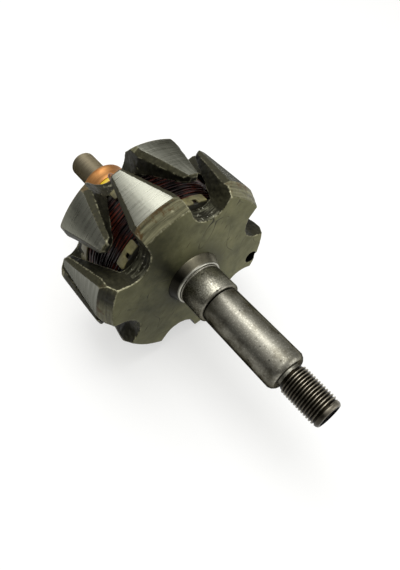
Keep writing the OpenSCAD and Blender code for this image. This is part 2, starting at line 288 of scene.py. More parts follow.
def round_the_shaft(tree, place, radian):
    """Coordinates that draw a pattern out into rings: a radian round the shaft counts as so many mm."""
    split = add(tree, "ShaderNodeSeparateXYZ", {"Vector": place}).outputs
    around = add(tree, "ShaderNodeMath", {0: split["Y"], 1: split["Z"]}, operation="ARCTAN2")
    along_ring = add(tree, "ShaderNodeMath", {0: around, 1: radian * MM}, operation="MULTIPLY")
    return add(tree, "ShaderNodeCombineXYZ", {"X": split["X"], "Y": along_ring})


# Ground steel: bright, with fine rings from grinding, brown stains and a few dark pits
# A scale counts the grains of a pattern in a metre, so 2000 makes them 0.5 mm wide
steel, tree, place = new_material("ground_steel")
split = add(tree, "ShaderNodeSeparateXYZ", {"Vector": place}).outputs
ring_place = round_the_shaft(tree, place, 0.6)
# Rings 0.5 mm apart, coarser than real grinding so that they show; stains 9 mm wide, freckles 1.2 mm
rings = add(tree, "ShaderNodeTexNoise", {"Vector": ring_place, "Scale": 2000.0, "Detail": 3.0})
cloud = add(tree, "ShaderNodeTexNoise", {"Vector": place, "Scale": 110.0, "Detail": 5.0, "Roughness": 0.65})
speck = add(tree, "ShaderNodeTexNoise", {"Vector": place, "Scale": 800.0, "Detail": 3.0, "Roughness": 0.7})
# Pits up to 1 mm wide, about two on three square centimetres
cell = add(tree, "ShaderNodeTexVoronoi", {"Vector": place, "Scale": 260.0})
pick = add(tree, "ShaderNodeSeparateColor", {"Color": cell.outputs["Color"]})
rare = add(tree, "ShaderNodeMath", {0: pick.outputs["Red"], 1: 0.78}, operation="GREATER_THAN")
dot = add(tree, "ShaderNodeMapRange", {
    "Value": cell.outputs["Distance"], "From Min": 0.1, "From Max": 0.22, "To Min": 1.0, "To Max": 0.0})
pit = add(tree, "ShaderNodeMath", {0: rare, 1: dot}, operation="MULTIPLY")
dark_patch = add(tree, "ShaderNodeMapRange", {"Value": cloud, "From Min": 0.48, "From Max": 0.7, "To Max": 0.75})
freckle = add(tree, "ShaderNodeMapRange", {
    "Value": speck, "From Min": 0.58, "From Max": 0.68, "To Max": 0.55})
dull = add(tree, "ShaderNodeMath", {0: dark_patch, 1: freckle}, operation="MAXIMUM")
bright = add(tree, "ShaderNodeMix", {"Factor": rings, "A": "#747268", "B": "#98958a"}, data_type="RGBA")
browned = add(tree, "ShaderNodeMix", {"Factor": dull, "A": bright, "B": "#4d4736"}, data_type="RGBA")
# Fine scuffs 0.7 mm wide glint in the light
fine_speck = add(tree, "ShaderNodeTexNoise", {
    "Vector": place, "Scale": 1500.0, "Detail": 2.0, "Roughness": 0.7})
scuff = add(tree, "ShaderNodeMapRange", {
    "Value": fine_speck, "From Min": 0.56, "From Max": 0.66, "To Max": 0.5})
scuffed = add(tree, "ShaderNodeMix", {"Factor": scuff, "A": browned, "B": "#c4c1b2"}, data_type="RGBA")
pitted = add(tree, "ShaderNodeMix", {"Factor": pit, "A": scuffed, "B": "#17150f"}, data_type="RGBA")
# The rear journal ran in its bearing and is browned and dull
journal = add(tree, "ShaderNodeMath", {0: split["X"], 1: -90.0 * MM}, operation="LESS_THAN")
warm = add(tree, "ShaderNodeMix", {"Factor": rings, "A": "#6a614c", "B": "#c2b69b"}, data_type="RGBA")
aged = add(tree, "ShaderNodeMix", {"Factor": journal, "A": pitted, "B": warm}, data_type="RGBA")
# Painted shade: the undercut in front of the bearing seat is drawn black
undercut = add(tree, "ShaderNodeMath", {0: split["X"], 1: 16.65 * MM, 2: 0.3 * MM}, operation="COMPARE")
undercut_shaded = add(tree, "ShaderNodeMix", {"Factor": undercut, "A": aged, "B": "#0d0c09"}, data_type="RGBA")
# The bearing has fretted its seat and left bright specks on it
seat = add(tree, "ShaderNodeMath", {0: split["X"], 1: 8.2 * MM, 2: 7.0 * MM}, operation="COMPARE")
rubbed = add(tree, "ShaderNodeMapRange", {
    "Value": fine_speck, "From Min": 0.44, "From Max": 0.62, "To Max": 0.6})
specks = add(tree, "ShaderNodeMath", {0: seat, 1: rubbed}, operation="MULTIPLY")
fretted = add(tree, "ShaderNodeMix", {"Factor": specks, "A": undercut_shaded, "B": "#d3d0bd"}, data_type="RGBA")
# Painted shade: the side away from the light is darkened in mottled patches, and so is the left side of the
# rear journal
facing = add(tree, "ShaderNodeTexCoord").outputs["Normal"]
facing_split = add(tree, "ShaderNodeSeparateXYZ", {"Vector": facing}).outputs
shade_side = add(tree, "ShaderNodeMapRange", {
    "Value": facing_split["Y"], "From Min": -0.88, "From Max": -0.52, "To Min": 0.66, "To Max": 0.0})
mottle = add(tree, "ShaderNodeMapRange", {"Value": cloud, "From Min": 0.36, "From Max": 0.58, "To Min": 0.62})
mottled_shade = add(tree, "ShaderNodeMath", {0: shade_side, 1: mottle}, operation="MULTIPLY")
journal_shade = add(tree, "ShaderNodeMapRange", {
    "Value": facing_split["Y"], "From Min": -0.95, "From Max": 0.0, "To Min": 0.7, "To Max": 0.0})
painted_shade = add(tree, "ShaderNodeMix", {"Factor": journal, "A": mottled_shade, "B": journal_shade})
tone = add(tree, "ShaderNodeMix", {"Factor": painted_shade, "A": fretted, "B": "#2b2922"}, data_type="RGBA")
gloss = add(tree, "ShaderNodeMapRange", {
    "Value": speck, "From Min": 0.3, "From Max": 0.7, "To Min": 0.28, "To Max": 0.42})
gloss_journal = add(tree, "ShaderNodeMix", {"Factor": journal, "A": gloss, "B": 0.55})
# The fretted seat is rough, which breaks up the shine
fretting = add(tree, "ShaderNodeMath", {0: seat, 1: speck}, operation="MULTIPLY")
ring_height = add(tree, "ShaderNodeMath", {0: rings, 1: pit}, operation="SUBTRACT")
height = add(tree, "ShaderNodeMath", {0: fretting, 1: 6.0, 2: ring_height}, operation="MULTIPLY_ADD")
relief = add(tree, "ShaderNodeBump", {"Height": height, "Strength": 0.3, "Distance": 0.05 * MM})
# Dull at a grazing look, as worn steel is
shader = add(tree, "ShaderNodeBsdfPrincipled", {
    "Base Color": tone, "Roughness": gloss_journal, "Normal": relief, "Metallic": 1.0,
    "Specular Tint": "#3a3a39"})
add(tree, "ShaderNodeOutputMaterial", {"Surface": shader})

# Rolled thread: the same steel, brown between the ridges with old oil and painted shade, and painted black in
# the socket as shade
oiled, tree, place = new_material("oiled_thread_steel")
split = add(tree, "ShaderNodeSeparateXYZ", {"Vector": place}).outputs
flat = add(tree, "ShaderNodeCombineXYZ", {"X": split["Y"], "Y": split["Z"]})
radius = add(tree, "ShaderNodeVectorMath", {0: flat}, operation="LENGTH")
crest = add(tree, "ShaderNodeMapRange", {"Value": radius, "From Min": 7.2 * MM, "From Max": 7.9 * MM})
# The plain end of the thread has been rubbed to bare steel
tip = add(tree, "ShaderNodeMapRange", {
    "Value": split["X"], "From Min": 87.4 * MM, "From Max": thread_end * MM, "To Max": 0.4})
bare = add(tree, "ShaderNodeMath", {0: crest, 1: tip}, operation="MAXIMUM")
# Grime in blots of 2.6 mm
grime = add(tree, "ShaderNodeTexNoise", {"Vector": place, "Scale": 380.0, "Detail": 5.0, "Roughness": 0.7})
worn = add(tree, "ShaderNodeMath", {0: bare, 1: grime}, operation="MULTIPLY")
# Old oil and painted shade darken the roots between the ridges; the crests and the rubbed end stay bright
oil_and_root_shade = add(tree, "ShaderNodeMix", {"Factor": worn, "A": "#1a160f", "B": "#ddd4bf"}, data_type="RGBA")
# Painted shade: the socket is black inside
inside = add(tree, "ShaderNodeMapRange", {
    "Value": radius, "From Min": 6.2 * MM, "From Max": 6.5 * MM, "To Min": 1.0, "To Max": 0.0})
# Painted shade: the side away from the light is darkened
facing = add(tree, "ShaderNodeTexCoord").outputs["Normal"]
facing_split = add(tree, "ShaderNodeSeparateXYZ", {"Vector": facing}).outputs
shade_side = add(tree, "ShaderNodeMapRange", {
    "Value": facing_split["Y"], "From Min": -0.62, "From Max": -0.25, "To Min": 0.75, "To Max": 0.0})
oil_and_side_shade = add(tree, "ShaderNodeMix", {"Factor": shade_side, "A": oil_and_root_shade, "B": "#14110b"}, data_type="RGBA")
colour = add(tree, "ShaderNodeMix", {"Factor": inside, "A": oil_and_side_shade, "B": "#080807"}, data_type="RGBA")
rough = add(tree, "ShaderNodeMapRange", {
    "Value": grime, "From Min": 0.3, "From Max": 0.7, "To Min": 0.28, "To Max": 0.5})
shader = add(tree, "ShaderNodeBsdfPrincipled", {"Base Color": colour, "Roughness": rough, "Metallic": 1.0})
add(tree, "ShaderNodeOutputMaterial", {"Surface": shader})

groove_middle_x = 66.2
for piece in (shaft, socket, ridge):
    piece.data.materials.append(steel)
    piece.data.materials.append(oiled)
    for face in piece.data.polygons:
        face.material_index = 1 if piece is not shaft or face.center.x > groove_middle_x * MM else 0
select_only(shaft, socket, ridge)
bpy.ops.object.join()
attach(shaft, "root")
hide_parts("shaft")


# Field coil
# Enamelled copper wire wound on the bobbin in layers and soaked in dark varnish.
# Only the outer layer shows between the claws, with its turns slightly out of line.
coil_front, coil_rear, coil_r = -17.0, -47.2, 40.0
pack_middle = (coil_front + coil_rear) / 2
bobbin_r, inner_layers_r = 28.5, 38.9
wire, wire_sides, turn_steps = 0.86, 8, 80
wire_pitch, end_room, layer_r = wire * 1.02, wire * 0.6, coil_r - wire * 0.75
core = turned("varnished_winding", [
    (coil_rear, bobbin_r), (coil_rear, inner_layers_r), (coil_front, inner_layers_r), (coil_front, bobbin_r),
    (coil_rear, bobbin_r)], steps=72)
bpy.ops.object.select_all(action="DESELECT")
bpy.ops.mesh.primitive_circle_add(vertices=wire_sides, radius=wire / 2 * MM, fill_type="NOTHING",
                                  rotation=(math.radians(90), 0, 0),
                                  location=((coil_rear + end_room) * MM, 0, layer_r * MM))
strand = bpy.context.object
bpy.ops.object.transform_apply(location=True, rotation=True, scale=True)
screwed(strand, wire_pitch, int((coil_front - coil_rear - 2 * end_room) / wire_pitch), turn_steps)


def angle_along(vertex):
    """How far a point lies along the wire, as an angle: its points lie in rows, so many to a turn."""
    return vertex.index // wire_sides / turn_steps * 2 * math.pi


# Each turn weaves in and out of the layer and sideways, by waves of (height in mm, rate, start)
out_waves = ((0.32, 2.37, 0), (0.18, 5.61, 1), (0.12, 11.3, 2))
side_height, side_rate, side_start = 0.3, 3.43, 2
for vertex in strand.data.vertices:
    run = angle_along(vertex)
    rise = sum(height * math.sin(rate * run + start) for height, rate, start in out_waves)
    out = math.hypot(vertex.co.y, vertex.co.z)
    vertex.co.y *= 1 + rise * MM / out
    vertex.co.z *= 1 + rise * MM / out
    vertex.co.x += side_height * math.sin(side_rate * run + side_start) * MM
for name, size, strength, direction in (("sideways", 9.0, 1.0, "X"), ("proud", 6.0, 0.5, "NORMAL")):
    drift = bpy.data.textures.new("winding_" + name, "CLOUDS")
    drift.noise_scale = size * MM
    apply_modifier(strand, "DISPLACE", texture=drift, texture_coords="LOCAL", direction=direction,
                   strength=strength * MM, mid_level=0.5)
# Each point keeps how far out it lies, and each turn a tone of its own
tone_rate = 0.37
crest = strand.data.attributes.new("crest", "FLOAT", "POINT")
turn_tone = strand.data.attributes.new("turn_tone", "FLOAT", "POINT")
for vertex in strand.data.vertices:
    out = math.hypot(vertex.co.y, vertex.co.z) / MM
    crest.data[vertex.index].value = (out - layer_r) / (wire / 2)
    turn_tone.data[vertex.index].value = 0.5 + 0.5 * math.sin(angle_along(vertex) * tone_rate)
bpy.ops.object.shade_smooth()

# Enamelled copper: a dark red film over copper, so the wire glints, with painted shade black between the
# turns and blots of black varnish
enamel, tree, place = new_material("enamelled_copper")
# Varnish in blots of 10 mm
blotch = add(tree, "ShaderNodeTexNoise", {"Vector": place, "Scale": 95.0, "Detail": 4.0, "Roughness": 0.6})
out = add(tree, "ShaderNodeAttribute", attribute_name="crest").outputs["Fac"]
own = add(tree, "ShaderNodeAttribute", attribute_name="turn_tone").outputs["Fac"]
wire_tone = add(tree, "ShaderNodeMix", {"Factor": own, "A": "#1c0805", "B": "#722d1a"}, data_type="RGBA")
# Painted shade: the low parts of the wire, between the turns, go black
shade_between_turns = add(tree, "ShaderNodeMapRange", {
    "Value": out, "From Min": 0.4, "From Max": 1.0, "To Min": 1.0, "To Max": 0.0})
varnish = add(tree, "ShaderNodeMapRange", {
    "Value": blotch, "From Min": 0.44, "From Max": 0.58, "To Max": 0.88})
# Nearly black beside the cheeks of the bobbin
split = add(tree, "ShaderNodeSeparateXYZ", {"Vector": place}).outputs
from_middle = add(tree, "ShaderNodeMath", {0: split["X"], 1: pack_middle * MM}, operation="SUBTRACT")
off_middle = add(tree, "ShaderNodeMath", {0: from_middle}, operation="ABSOLUTE")
cheek_black = add(tree, "ShaderNodeMapRange", {
    "Value": off_middle, "From Min": 10.5 * MM, "From Max": 12.5 * MM, "To Max": 0.9})
varnish_and_cheek_black = add(tree, "ShaderNodeMath", {0: cheek_black, 1: varnish}, operation="MAXIMUM")
varnish_and_shade = add(tree, "ShaderNodeMath", {0: shade_between_turns, 1: varnish_and_cheek_black}, operation="MAXIMUM")
tone = add(tree, "ShaderNodeMix", {"Factor": varnish_and_shade, "A": wire_tone, "B": "#0b0605"}, data_type="RGBA")
shader = add(tree, "ShaderNodeBsdfPrincipled", {
    "Base Color": tone, "Metallic": 0.4, "Roughness": 0.28, "Coat Weight": 0.25, "Coat Roughness": 0.12})
add(tree, "ShaderNodeOutputMaterial", {"Surface": shader})

core.data.materials.append(enamel)
strand.data.materials.append(enamel)
select_only(core, strand)
bpy.ops.object.join()
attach(core, "root")
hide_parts("field_coil")


# Bobbin
# A cream nylon moulding that keeps the wire off the pole pieces.
# Its tabs fold over the winding in the notches and have gone yellow with heat.
def copy_of_solid(node, name):
    """A merged copy of one solid, ready to be worked on."""
    piece = bpy.data.objects.new(name, nodes[node].data.copy())
    scene.collection.objects.link(piece)
    piece.data.materials.clear()
    select_only(piece)
    bpy.ops.object.mode_set(mode="EDIT")
    bpy.ops.mesh.select_all(action="SELECT")
    bpy.ops.mesh.remove_doubles(threshold=merge_gap)
    bpy.ops.mesh.dissolve_limited(angle_limit=math.radians(0.5))
    bpy.ops.object.mode_set(mode="OBJECT")
    return piece


bobbin = copy_of_solid("bobbin", "nylon_bobbin")
# The corners of the tabs and of their slots are moulded round: short edges that stand out from the winding
tab_foot_r, tab_edge_rise, level, tab_round = 39.3, 0.55, 0.01, 1.2
bpy.ops.object.mode_set(mode="EDIT")
bpy.ops.mesh.select_mode(type="EDGE")
bpy.ops.mesh.select_all(action="DESELECT")
bpy.ops.object.mode_set(mode="OBJECT")
for edge in bobbin.data.edges:
    first, second = (bobbin.data.vertices[i].co / MM for i in edge.vertices)
    first_r, second_r = math.hypot(first.y, first.z), math.hypot(second.y, second.z)
    edge.select = (abs(first.x - second.x) < level and min(first_r, second_r) > tab_foot_r
                   and abs(first_r - second_r) > tab_edge_rise)
bpy.ops.object.mode_set(mode="EDIT")
bpy.ops.mesh.bevel(offset=tab_round * MM, segments=4, affect="EDGES", clamp_overlap=True)
bpy.ops.mesh.select_mode(type="VERT")
bpy.ops.object.mode_set(mode="OBJECT")
round_edges(bobbin, 0.4, segments=3)

# Aged nylon: cream on the tabs, brown where varnish has run over it, and black on the cheeks below the tabs
nylon, tree, place = new_material("aged_nylon")
split = add(tree, "ShaderNodeSeparateXYZ", {"Vector": place}).outputs
flat = add(tree, "ShaderNodeCombineXYZ", {"X": split["Y"], "Y": split["Z"]})
radius = add(tree, "ShaderNodeVectorMath", {0: flat}, operation="LENGTH")
# Varnish runs in patches of 6 mm, on a grain of 0.8 mm
patch = add(tree, "ShaderNodeTexNoise", {"Vector": place, "Scale": 170.0, "Detail": 5.0, "Roughness": 0.6})
fine = add(tree, "ShaderNodeTexNoise", {"Vector": place, "Scale": 1200.0, "Detail": 2.0})
run = add(tree, "ShaderNodeMapRange", {"Value": patch, "From Min": 0.4, "From Max": 0.66, "To Max": 0.85})
cream = add(tree, "ShaderNodeMix", {"Factor": run, "A": "#7f7953", "B": "#38321d"}, data_type="RGBA")
cheek_black = add(tree, "ShaderNodeMapRange", {
    "Value": radius, "From Min": 40.2 * MM, "From Max": 40.8 * MM, "To Min": 0.95, "To Max": 0.0})
tone = add(tree, "ShaderNodeMix", {"Factor": cheek_black, "A": cream, "B": "#0d0b07"}, data_type="RGBA")
grain = add(tree, "ShaderNodeBump", {"Height": fine, "Strength": 0.3, "Distance": 0.05 * MM})
shader = add(tree, "ShaderNodeBsdfPrincipled", {
    "Base Color": tone, "Normal": grain, "Roughness": 0.42, "Subsurface Weight": 0.1,
    "Subsurface Radius": (0.6 * MM, 0.5 * MM, 0.3 * MM)})
add(tree, "ShaderNodeOutputMaterial", {"Surface": shader})
bobbin.data.materials.append(nylon)
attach(bobbin, "root")
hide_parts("bobbin")


# Pole pieces
# Two steel forgings with six claws each, pressed on the shaft and turned on the outside.
# The forging skin is coated olive, oily and chipped; the turned claws are bare steel.
def forged(node, name, voxel=0.42, most_triangles=190000):
    """Forging: the solid remeshed, so that its edges round off and its skin swells a little."""
    piece = copy_of_solid(node, name)
    apply_modifier(piece, "REMESH", mode="VOXEL", voxel_size=voxel * MM, use_smooth_shade=True)
    # The turned outside and the bore stay true, the flat face swells less than the rest
    turned_r, fade, bore_r, face_loss = 52.4, 1.2, 16, 0.7
    skin = piece.vertex_groups.new(name="skin")
    for vertex in piece.data.vertices:
        out = math.hypot(vertex.co.y, vertex.co.z) / MM
        share = min(max((turned_r - out) / fade, 0), 1) if out > bore_r else 0
        skin.add([vertex.index], share * (1 - face_loss * abs(vertex.normal.x)), "REPLACE")
    for part, size, strength in (("swell", 9.0, 0.7), ("dent", 2.4, 0.45)):
        form = bpy.data.textures.new(name + "_" + part, "CLOUDS")
        form.noise_scale = size * MM
        apply_modifier(piece, "DISPLACE", texture=form, texture_coords="LOCAL", strength=strength * MM,
                       mid_level=0.5, vertex_group="skin")
    triangles = sum(len(face.vertices) - 2 for face in piece.data.polygons)
    apply_modifier(piece, "DECIMATE", ratio=min(most_triangles / triangles, 1.0))
    bpy.ops.object.shade_smooth()
    return piece


# Coated forging and turned claws: olive coat, painted shade nearly black in the depths, rust on the cones,
# and bare steel where the claws reach farthest out
claw_steel, tree, place = new_material("forged_and_turned_steel")
split = add(tree, "ShaderNodeSeparateXYZ", {"Vector": place}).outputs
flat = add(tree, "ShaderNodeCombineXYZ", {"Y": split["Y"], "Z": split["Z"]})
radius = add(tree, "ShaderNodeVectorMath", {0: flat}, operation="LENGTH")
around = add(tree, "ShaderNodeMath", {0: split["Y"], 1: split["Z"]}, operation="ARCTAN2")
ring_place = round_the_shaft(tree, place, 2.2)
# Which way the surface looks: along the shaft, or outwards
facing = add(tree, "ShaderNodeTexCoord").outputs["Normal"]
facing_split = add(tree, "ShaderNodeSeparateXYZ", {"Vector": facing}).outputs
endwise = add(tree, "ShaderNodeMath", {0: facing_split["X"]}, operation="ABSOLUTE")
end_look = add(tree, "ShaderNodeMapRange", {"Value": endwise, "From Min": 0.75, "From Max": 0.95})
outward = add(tree, "ShaderNodeVectorMath", {0: flat}, operation="NORMALIZE")
outwards = add(tree, "ShaderNodeVectorMath", {0: outward, 1: facing}, operation="DOT_PRODUCT")
# Distance from the middle of the pack, which is 26.5 mm at the two faces
from_middle = add(tree, "ShaderNodeMath", {0: split["X"], 1: pack_middle * MM}, operation="SUBTRACT")
depth = add(tree, "ShaderNodeMath", {0: from_middle}, operation="ABSOLUTE")
plate = add(tree, "ShaderNodeMapRange", {"Value": depth, "From Min": 22.0 * MM, "From Max": 24.0 * MM})
face = add(tree, "ShaderNodeMath", {0: end_look, 1: plate}, operation="MULTIPLY")

# Turning marks 0.7 mm apart, coarser than the real feed so that they show;
# clouds 13 mm wide, blots 5 mm, grit 1.4 mm, and a slow pattern of 38 mm for the scratches
marks = add(tree, "ShaderNodeTexNoise", {
    "Vector": ring_place, "Scale": 1400.0, "Detail": 4.0, "Roughness": 0.6})
cloud = add(tree, "ShaderNodeTexNoise", {"Vector": place, "Scale": 75.0, "Detail": 6.0, "Roughness": 0.62})
blot = add(tree, "ShaderNodeTexNoise", {"Vector": place, "Scale": 190.0, "Detail": 5.0, "Roughness": 0.65})
grit = add(tree, "ShaderNodeTexNoise", {"Vector": place, "Scale": 700.0, "Detail": 4.0, "Roughness": 0.6})
lines = add(tree, "ShaderNodeTexNoise", {"Vector": place, "Scale": 26.0, "Detail": 1.0, "Distortion": 0.3})
edge = add(tree, "ShaderNodeNewGeometry").outputs["Pointiness"]

# Turned part: within a third of a millimetre of the outer diameter and looking straight out
ragged = add(tree, "ShaderNodeMapRange", {
    "Value": grit, "From Min": 0.3, "From Max": 0.7, "To Min": -0.08 * MM, "To Max": 0.08 * MM})
reach = add(tree, "ShaderNodeMath", {0: radius, 1: ragged}, operation="ADD")
outermost = add(tree, "ShaderNodeMapRange", {"Value": reach, "From Min": 52.66 * MM, "From Max": 52.8 * MM})
straight = add(tree, "ShaderNodeMapRange", {"Value": outwards, "From Min": 0.984, "From Max": 0.996})
turned_part = add(tree, "ShaderNodeMath", {0: outermost, 1: straight}, operation="MULTIPLY")

# Olive coat, a little yellower towards the rim of the face
coat_tone = add(tree, "ShaderNodeMapRange", {"Value": cloud, "From Min": 0.3, "From Max": 0.7})
coat = add(tree, "ShaderNodeMix", {"Factor": coat_tone, "A": "#4c4c34", "B": "#82805d"}, data_type="RGBA")
rim = add(tree, "ShaderNodeMapRange", {
    "Value": radius, "From Min": 34.0 * MM, "From Max": 47.0 * MM, "To Max": 0.55})
rim_patch = add(tree, "ShaderNodeMath", {0: rim, 1: blot}, operation="MULTIPLY")
yellowed = add(tree, "ShaderNodeMix", {"Factor": rim_patch, "A": coat, "B": "#84815a"}, data_type="RGBA")
# Painted shade: the side away from the light, towards -Y, is dimmed
left_shade = add(tree, "ShaderNodeMapRange", {
    "Value": split["Y"], "From Min": -25.0 * MM, "From Max": 12.0 * MM, "To Min": 0.32, "To Max": 0.0})
left_shaded = add(tree, "ShaderNodeMix", {"Factor": left_shade, "A": yellowed, "B": "#26261a"}, data_type="RGBA")
# Oil has crept out round the spacer, with painted shade at its foot
creep = add(tree, "ShaderNodeMath", {0: cloud, 1: 26.0 * MM, 2: 6.0 * MM}, operation="MULTIPLY_ADD")
near_shaft = add(tree, "ShaderNodeMath", {0: creep, 1: radius}, operation="SUBTRACT")
oil_and_shade_ring = add(tree, "ShaderNodeMapRange", {
    "Value": near_shaft, "From Min": -4.0 * MM, "From Max": 4.0 * MM, "To Max": 0.6})
oiled_and_shaded_face = add(tree, "ShaderNodeMix", {"Factor": oil_and_shade_ring, "A": left_shaded, "B": "#23221a"}, data_type="RGBA")
# A painted shadow of the shaft lies up the face in a dark band
lean = add(tree, "ShaderNodeMapRange", {
    "Value": radius, "From Min": 18.0 * MM, "From Max": 44.0 * MM, "To Min": 0.87, "To Max": 0.56})
aside = add(tree, "ShaderNodeMath", {0: around, 1: lean}, operation="ADD")
off_band = add(tree, "ShaderNodeMath", {0: aside}, operation="ABSOLUTE")
band_edge = add(tree, "ShaderNodeMath", {0: blot, 1: 0.35, 2: off_band}, operation="MULTIPLY_ADD")
band = add(tree, "ShaderNodeMapRange", {
    "Value": band_edge, "From Min": 0.22, "From Max": 0.62, "To Min": 0.95, "To Max": 0.0})
band_end = add(tree, "ShaderNodeMapRange", {
    "Value": radius, "From Min": 24.0 * MM, "From Max": 44.0 * MM, "To Min": 1.0, "To Max": 0.65})
dark_patch = add(tree, "ShaderNodeMath", {0: band, 1: band_end}, operation="MULTIPLY")
shadowed_face = add(tree, "ShaderNodeMix", {"Factor": dark_patch, "A": oiled_and_shaded_face, "B": "#15150c"}, data_type="RGBA")
# Thin scratches follow the contour lines of a slow pattern, and only in places
near = add(tree, "ShaderNodeMath", {0: lines, 1: 0.5}, operation="SUBTRACT")
size = add(tree, "ShaderNodeMath", {0: near}, operation="ABSOLUTE")
scratch = add(tree, "ShaderNodeMapRange", {
    "Value": size, "From Min": 0.0006, "From Max": 0.003, "To Min": 1.0, "To Max": 0.0})
where = add(tree, "ShaderNodeMapRange", {"Value": cloud, "From Min": 0.44, "From Max": 0.52, "To Max": 0.9})
cut = add(tree, "ShaderNodeMath", {0: scratch, 1: where}, operation="MULTIPLY")
# Short strokes from handling, about 8 mm long, run aslant over the face
aslant = add(tree, "ShaderNodeMapping", {
    "Vector": flat, "Rotation": (math.radians(50), 0, 0), "Scale": (1, 9, 1)}, vector_type="TEXTURE")
strokes = add(tree, "ShaderNodeTexNoise", {"Vector": aslant, "Scale": 900.0, "Detail": 1.0})
stroke = add(tree, "ShaderNodeMapRange", {
    "Value": strokes, "From Min": 0.66, "From Max": 0.74, "To Max": 0.8})
stroke_cut = add(tree, "ShaderNodeMath", {0: stroke, 1: where}, operation="MULTIPLY")
marked = add(tree, "ShaderNodeMath", {0: stroke_cut, 1: cut}, operation="MAXIMUM")
scratched = add(tree, "ShaderNodeMix", {"Factor": marked, "A": shadowed_face, "B": "#15140d"}, data_type="RGBA")

# Painted shade: the sides of the claws and the notches go nearly black, the more so towards the middle of the
# pack and nearer the shaft; bevels that look outwards stay lighter
skin_tone = add(tree, "ShaderNodeMix", {"Factor": grit, "A": "#100f0a", "B": "#474533"}, data_type="RGBA")
shade_tone = add(tree, "ShaderNodeMix", {"Factor": grit, "A": "#050504", "B": "#1a1912"}, data_type="RGBA")
sideways = add(tree, "ShaderNodeMapRange", {
    "Value": outwards, "From Min": 0.1, "From Max": 0.62, "To Min": 1.0, "To Max": 0.0})
inside = add(tree, "ShaderNodeMapRange", {
    "Value": depth, "From Min": 15.0 * MM, "From Max": 25.0 * MM, "To Min": 1.0, "To Max": 0.35})
side_and_depth_shade = add(tree, "ShaderNodeMath", {0: sideways, 1: inside}, operation="MULTIPLY")
low = add(tree, "ShaderNodeMapRange", {
    "Value": radius, "From Min": 38.0 * MM, "From Max": 47.0 * MM, "To Min": 0.7, "To Max": 0.0})
darkening = add(tree, "ShaderNodeMath", {0: side_and_depth_shade, 1: low}, operation="MAXIMUM")
wall = add(tree, "ShaderNodeMix", {"Factor": darkening, "A": skin_tone, "B": shade_tone}, data_type="RGBA")
skin = add(tree, "ShaderNodeMix", {"Factor": face, "A": wall, "B": scratched}, data_type="RGBA")

# Cones at the claw roots: streaks 1.5 mm wide round the shaft, rusty towards the turned part.
# Three marks lie at these angles round the shaft, in radians
wet_corner, varnish_run, bright_lip = -0.64, -1.26, -1.17
streak = add(tree, "ShaderNodeTexNoise", {
    "Vector": ring_place, "Scale": 650.0, "Detail": 5.0, "Roughness": 0.7})
streak_tone = add(tree, "ShaderNodeMapRange", {"Value": streak, "From Min": 0.28, "From Max": 0.72})
cone_tone = add(tree, "ShaderNodeMix", {
    "Factor": streak_tone, "A": "#211f14", "B": "#8a876a"}, data_type="RGBA")
rust_place = add(tree, "ShaderNodeMapRange", {
    "Value": radius, "From Min": 49.0 * MM, "From Max": 52.6 * MM, "To Min": -0.1, "To Max": 0.12})
# and most at the corner where water stood
from_corner = add(tree, "ShaderNodeMath", {0: around, 1: wet_corner}, operation="SUBTRACT")
off_corner = add(tree, "ShaderNodeMath", {0: from_corner}, operation="ABSOLUTE")
corner = add(tree, "ShaderNodeMapRange", {
    "Value": off_corner, "From Min": 0.02, "From Max": 0.22, "To Min": 0.16, "To Max": 0.0})
rust_wet = add(tree, "ShaderNodeMath", {0: rust_place, 1: corner}, operation="ADD")
rust_mix = add(tree, "ShaderNodeMath", {0: rust_wet, 1: blot}, operation="ADD")
rust = add(tree, "ShaderNodeMapRange", {"Value": rust_mix, "From Min": 0.57, "From Max": 0.7, "To Max": 0.7})
rusty = add(tree, "ShaderNodeMix", {"Factor": rust, "A": cone_tone, "B": "#493014"}, data_type="RGBA")
cone_out = add(tree, "ShaderNodeMapRange", {"Value": radius, "From Min": 47.5 * MM, "From Max": 48.5 * MM})
cone_end = add(tree, "ShaderNodeMapRange", {"Value": depth, "From Min": 18.4 * MM, "From Max": 19.2 * MM})
cone_look = add(tree, "ShaderNodeMapRange", {"Value": outwards, "From Min": 0.55, "From Max": 0.72})
cone_place = add(tree, "ShaderNodeMath", {0: cone_out, 1: cone_end}, operation="MULTIPLY")
cone = add(tree, "ShaderNodeMath", {0: cone_place, 1: cone_look}, operation="MULTIPLY")
# Varnish has run over one cone and blackened its upper half
from_run = add(tree, "ShaderNodeMath", {0: around, 1: varnish_run}, operation="SUBTRACT")
off_run = add(tree, "ShaderNodeMath", {0: from_run}, operation="ABSOLUTE")
run = add(tree, "ShaderNodeMapRange", {
    "Value": off_run, "From Min": 0.05, "From Max": 0.17, "To Min": 0.85, "To Max": 0.0})
varnished = add(tree, "ShaderNodeMix", {"Factor": run, "A": rusty, "B": "#14130d"}, data_type="RGBA")
coned = add(tree, "ShaderNodeMix", {"Factor": cone, "A": skin, "B": varnished}, data_type="RGBA")

# Dirt and painted shade in the hollows, and chips on the sharp edges that show bright steel
hollow_dirt_and_shade = add(tree, "ShaderNodeMapRange", {
    "Value": edge, "From Min": 0.4, "From Max": 0.49, "To Min": 0.85, "To Max": 0.0})
dirt_and_shade = add(tree, "ShaderNodeMix", {"Factor": hollow_dirt_and_shade, "A": coned, "B": "#100f0a"}, data_type="RGBA")
sharp = add(tree, "ShaderNodeMapRange", {"Value": edge, "From Min": 0.515, "From Max": 0.55})
patchy = add(tree, "ShaderNodeMapRange", {"Value": blot, "From Min": 0.5, "From Max": 0.6})
speckled = add(tree, "ShaderNodeMapRange", {"Value": grit, "From Min": 0.48, "From Max": 0.6, "To Max": 0.7})
